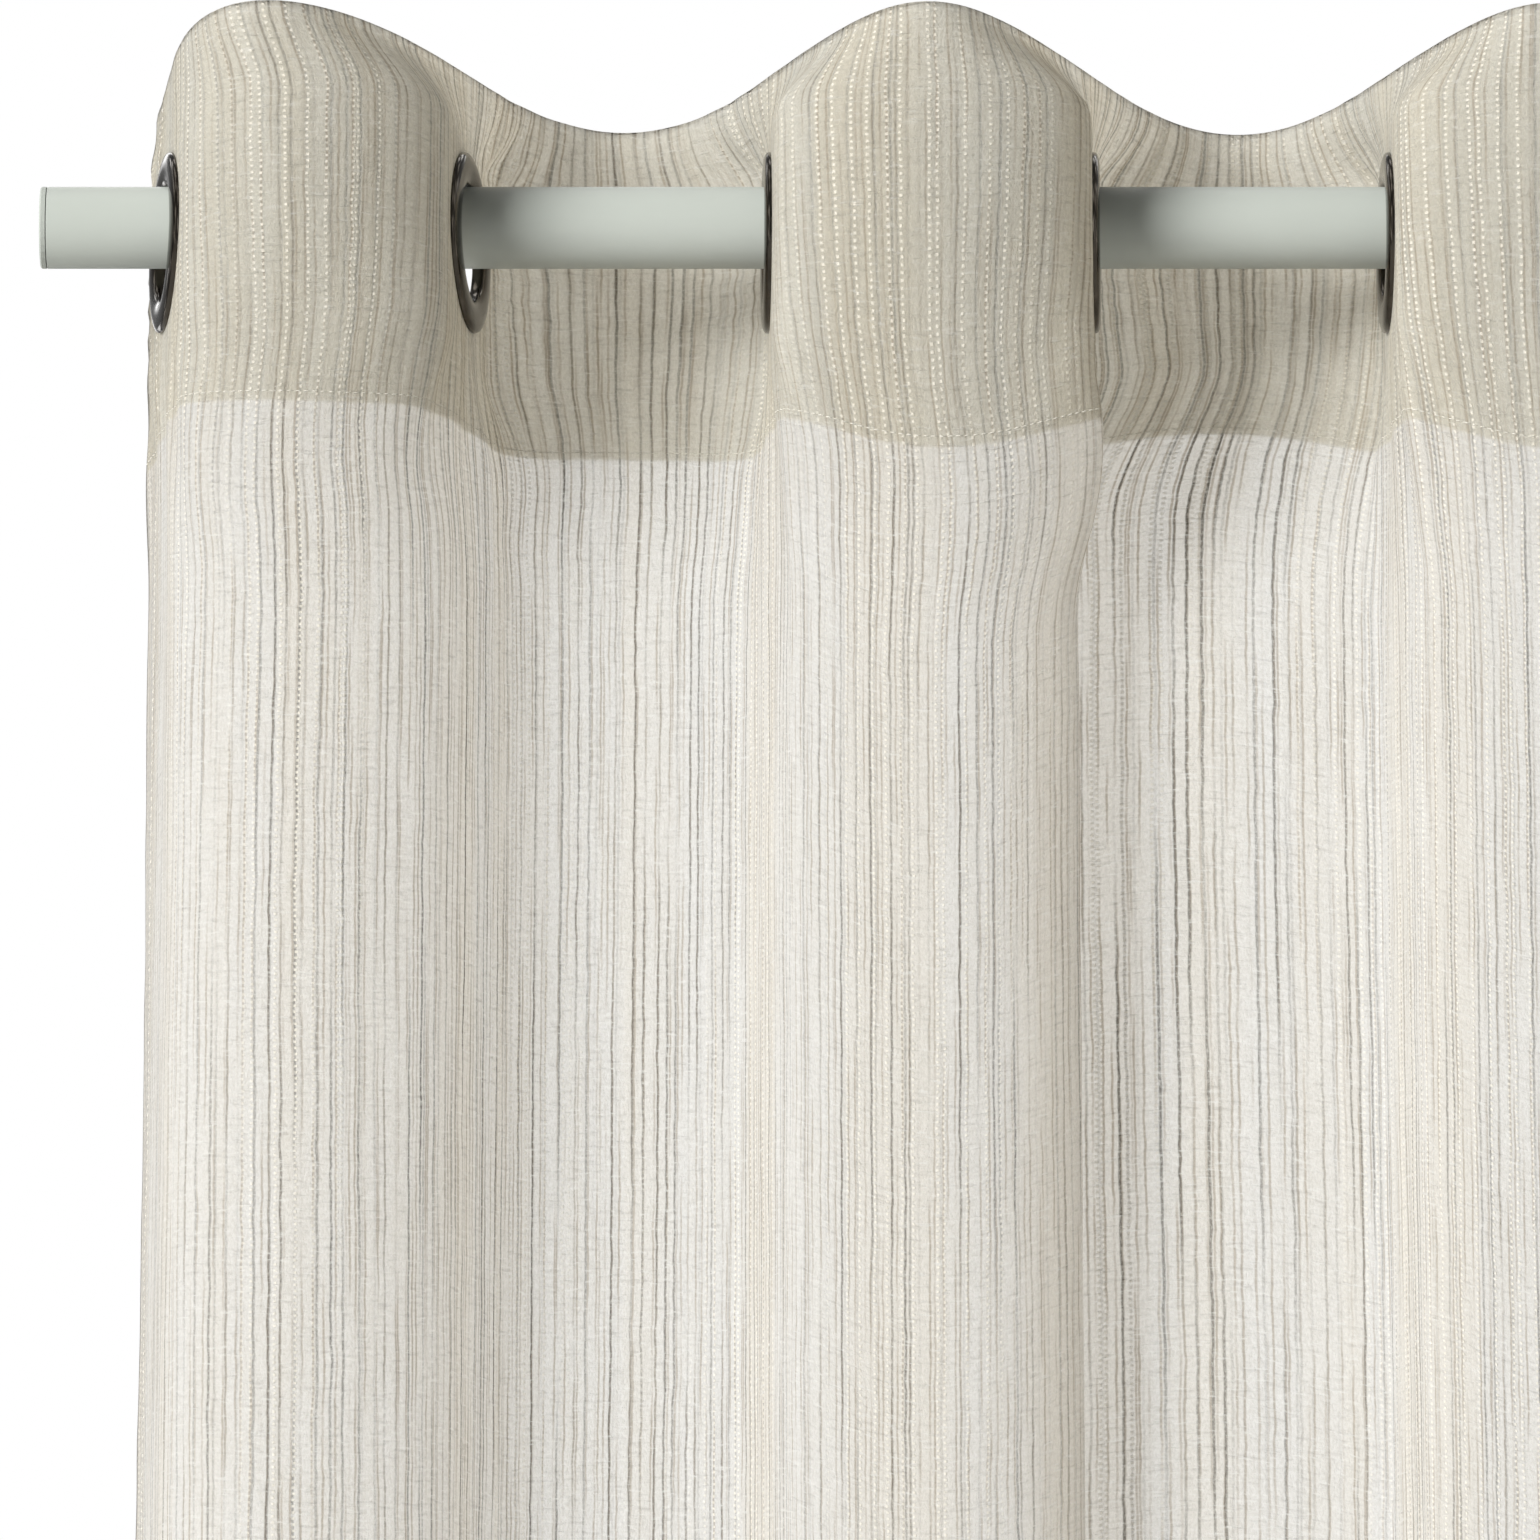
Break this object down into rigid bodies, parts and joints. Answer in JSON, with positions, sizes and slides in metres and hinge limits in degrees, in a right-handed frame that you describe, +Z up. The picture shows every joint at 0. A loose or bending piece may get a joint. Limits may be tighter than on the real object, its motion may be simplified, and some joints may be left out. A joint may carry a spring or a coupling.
{
  "type": "eyelet curtains on a rod",
  "caption": "Pair of semi-sheer eyelet curtain panels on a round rod with wall brackets; each panel draws open along the rod.",
  "frame": {"origin": "centre of the middle bracket's wall plate, on its back face, which lies on the wall", "axes": "+X along the rod to the right as seen from the room, +Y into the wall, +Z up"},
  "size_m": [1.6, 0.1877, 2.13],
  "materials": {
    "linen_cloth": "matte semi-sheer crinkled linen-look weave with irregular vertical slub threads",
    "rod_paint": "satin",
    "bracket_paint": "satin",
    "dark_nickel": "polished dark nickel plating on moulded plastic",
    "zinc_steel": "satin zinc plating"
  },
  "bodies": {
    "frame": {"rod_tube": "rod_paint", "right_end_plug": "rod_paint", "left_end_plug": "rod_paint", "left_wall_plate": "bracket_paint", "left_bracket_arm": "bracket_paint", "left_clamp_screw": "zinc_steel", "left_upper_wall_screw": "zinc_steel", "left_lower_wall_screw": "zinc_steel", "middle_wall_plate": "bracket_paint", "middle_bracket_arm": "bracket_paint", "middle_clamp_screw": "zinc_steel", "middle_upper_wall_screw": "zinc_steel", "middle_lower_wall_screw": "zinc_steel", "right_wall_plate": "bracket_paint", "right_bracket_arm": "bracket_paint", "right_clamp_screw": "zinc_steel", "right_upper_wall_screw": "zinc_steel", "right_lower_wall_screw": "zinc_steel", "left_panel": "linen_cloth", "right_panel": "linen_cloth", "left_eyelet_1_front": "dark_nickel", "left_eyelet_1_back": "dark_nickel", "right_eyelet_1_front": "dark_nickel", "right_eyelet_1_back": "dark_nickel"},
    "left_eyelet_2": {"left_eyelet_2_front": "dark_nickel", "left_eyelet_2_back": "dark_nickel"},
    "left_eyelet_3": {"left_eyelet_3_front": "dark_nickel", "left_eyelet_3_back": "dark_nickel"},
    "left_eyelet_4": {"left_eyelet_4_front": "dark_nickel", "left_eyelet_4_back": "dark_nickel"},
    "left_eyelet_5": {"left_eyelet_5_front": "dark_nickel", "left_eyelet_5_back": "dark_nickel"},
    "left_eyelet_6": {"left_eyelet_6_front": "dark_nickel", "left_eyelet_6_back": "dark_nickel"},
    "left_eyelet_7": {"left_eyelet_7_front": "dark_nickel", "left_eyelet_7_back": "dark_nickel"},
    "left_eyelet_8": {"left_eyelet_8_front": "dark_nickel", "left_eyelet_8_back": "dark_nickel"},
    "right_eyelet_2": {"right_eyelet_2_front": "dark_nickel", "right_eyelet_2_back": "dark_nickel"},
    "right_eyelet_3": {"right_eyelet_3_front": "dark_nickel", "right_eyelet_3_back": "dark_nickel"},
    "right_eyelet_4": {"right_eyelet_4_front": "dark_nickel", "right_eyelet_4_back": "dark_nickel"},
    "right_eyelet_5": {"right_eyelet_5_front": "dark_nickel", "right_eyelet_5_back": "dark_nickel"},
    "right_eyelet_6": {"right_eyelet_6_front": "dark_nickel", "right_eyelet_6_back": "dark_nickel"},
    "right_eyelet_7": {"right_eyelet_7_front": "dark_nickel", "right_eyelet_7_back": "dark_nickel"},
    "right_eyelet_8": {"right_eyelet_8_front": "dark_nickel", "right_eyelet_8_back": "dark_nickel"}
  },
  "joints": [
    {"name": "left_draw", "type": "slide", "parent": "frame", "child": "left_eyelet_8", "axis": [-1, 0, 0], "range_m": [0, 0.4726], "deforming": ["left_panel"]},
    {"name": "left_eyelet_7_slide", "type": "slide", "parent": "frame", "child": "left_eyelet_7", "axis": [-1, 0, 0], "range_m": [0, 0.4049]},
    {"name": "left_eyelet_6_slide", "type": "slide", "parent": "frame", "child": "left_eyelet_6", "axis": [-1, 0, 0], "range_m": [0, 0.3368]},
    {"name": "left_eyelet_5_slide", "type": "slide", "parent": "frame", "child": "left_eyelet_5", "axis": [-1, 0, 0], "range_m": [0, 0.2675]},
    {"name": "left_eyelet_4_slide", "type": "slide", "parent": "frame", "child": "left_eyelet_4", "axis": [-1, 0, 0], "range_m": [0, 0.2024]},
    {"name": "left_eyelet_3_slide", "type": "slide", "parent": "frame", "child": "left_eyelet_3", "axis": [-1, 0, 0], "range_m": [0, 0.1323]},
    {"name": "left_eyelet_2_slide", "type": "slide", "parent": "frame", "child": "left_eyelet_2", "axis": [-1, 0, 0], "range_m": [0, 0.0658]},
    {"name": "right_draw", "type": "slide", "parent": "frame", "child": "right_eyelet_8", "axis": [1, 0, 0], "range_m": [0, 0.4726], "deforming": ["right_panel"]},
    {"name": "right_eyelet_7_slide", "type": "slide", "parent": "frame", "child": "right_eyelet_7", "axis": [1, 0, 0], "range_m": [0, 0.4049]},
    {"name": "right_eyelet_6_slide", "type": "slide", "parent": "frame", "child": "right_eyelet_6", "axis": [1, 0, 0], "range_m": [0, 0.3368]},
    {"name": "right_eyelet_5_slide", "type": "slide", "parent": "frame", "child": "right_eyelet_5", "axis": [1, 0, 0], "range_m": [0, 0.2675]},
    {"name": "right_eyelet_4_slide", "type": "slide", "parent": "frame", "child": "right_eyelet_4", "axis": [1, 0, 0], "range_m": [0, 0.2024]},
    {"name": "right_eyelet_3_slide", "type": "slide", "parent": "frame", "child": "right_eyelet_3", "axis": [1, 0, 0], "range_m": [0, 0.1323]},
    {"name": "right_eyelet_2_slide", "type": "slide", "parent": "frame", "child": "right_eyelet_2", "axis": [1, 0, 0], "range_m": [0, 0.0658]}
  ],
  "couplings": [
    {"joint": "left_eyelet_7_slide", "follows": "left_draw", "ratio": 0.85579},
    {"joint": "left_eyelet_6_slide", "follows": "left_draw", "ratio": 0.71158},
    {"joint": "left_eyelet_5_slide", "follows": "left_draw", "ratio": 0.56506},
    {"joint": "left_eyelet_4_slide", "follows": "left_draw", "ratio": 0.42722},
    {"joint": "left_eyelet_3_slide", "follows": "left_draw", "ratio": 0.27881},
    {"joint": "left_eyelet_2_slide", "follows": "left_draw", "ratio": 0.13825},
    {"joint": "right_eyelet_7_slide", "follows": "right_draw", "ratio": 0.85579},
    {"joint": "right_eyelet_6_slide", "follows": "right_draw", "ratio": 0.71158},
    {"joint": "right_eyelet_5_slide", "follows": "right_draw", "ratio": 0.56506},
    {"joint": "right_eyelet_4_slide", "follows": "right_draw", "ratio": 0.42722},
    {"joint": "right_eyelet_3_slide", "follows": "right_draw", "ratio": 0.27881},
    {"joint": "right_eyelet_2_slide", "follows": "right_draw", "ratio": 0.13825}
  ]
}
